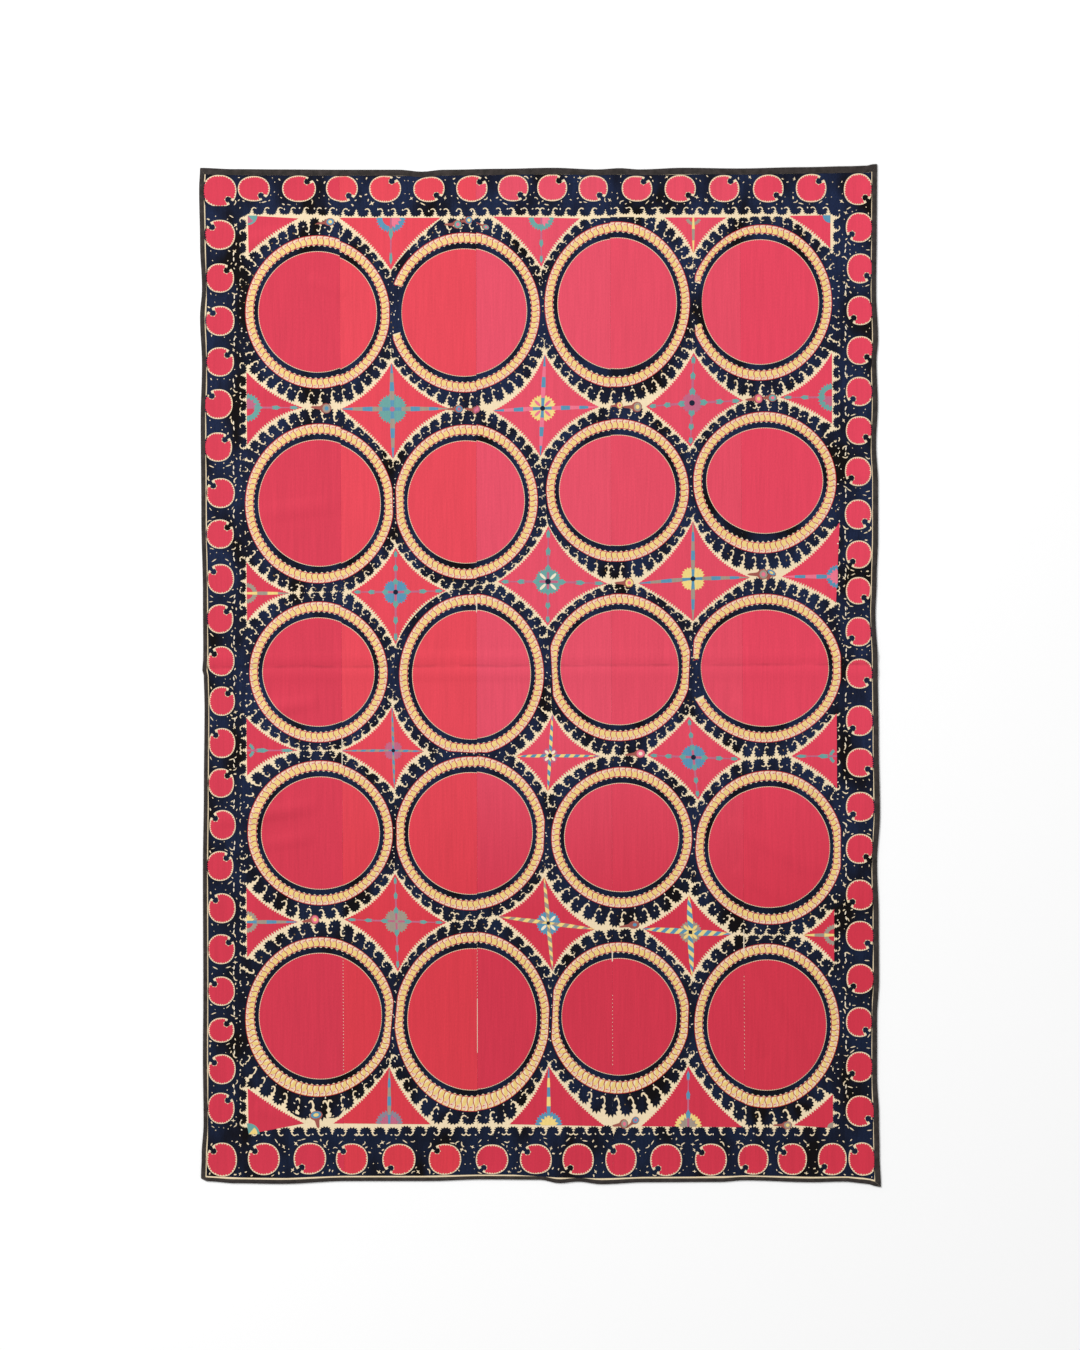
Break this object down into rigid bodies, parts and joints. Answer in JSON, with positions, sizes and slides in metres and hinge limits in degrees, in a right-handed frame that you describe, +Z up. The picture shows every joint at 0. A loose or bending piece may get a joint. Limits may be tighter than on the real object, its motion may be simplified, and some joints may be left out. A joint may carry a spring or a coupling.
{
  "type": "suzani embroidered textile",
  "caption": "Large hand embroidered suzani hanging laid flat, sewn from loom-width cotton strips and edged all round with a folded tape binding.",
  "frame": {"origin": "middle of the cloth's outline, on the surface it lies on", "axes": "+Y along the length of the cloth to its top edge, +X across it to the right, +Z up out of its embroidered face"},
  "size_m": [2.1297, 3.196, 0.0066],
  "materials": {
    "embroidered_cotton": "laid and couched silk embroidery in rose red, blue-black and gold on cream hand-woven cotton, with a soft silk sheen",
    "binding_tape": "matt charcoal cotton tape"
  },
  "bodies": {
    "root": {"panel_1": "embroidered_cotton", "panel_2": "embroidered_cotton", "panel_3": "embroidered_cotton", "panel_4": "embroidered_cotton", "panel_5": "embroidered_cotton", "binding_top": "binding_tape", "binding_right": "binding_tape", "binding_bottom": "binding_tape", "binding_left": "binding_tape"}
  },
  "joints": []
}
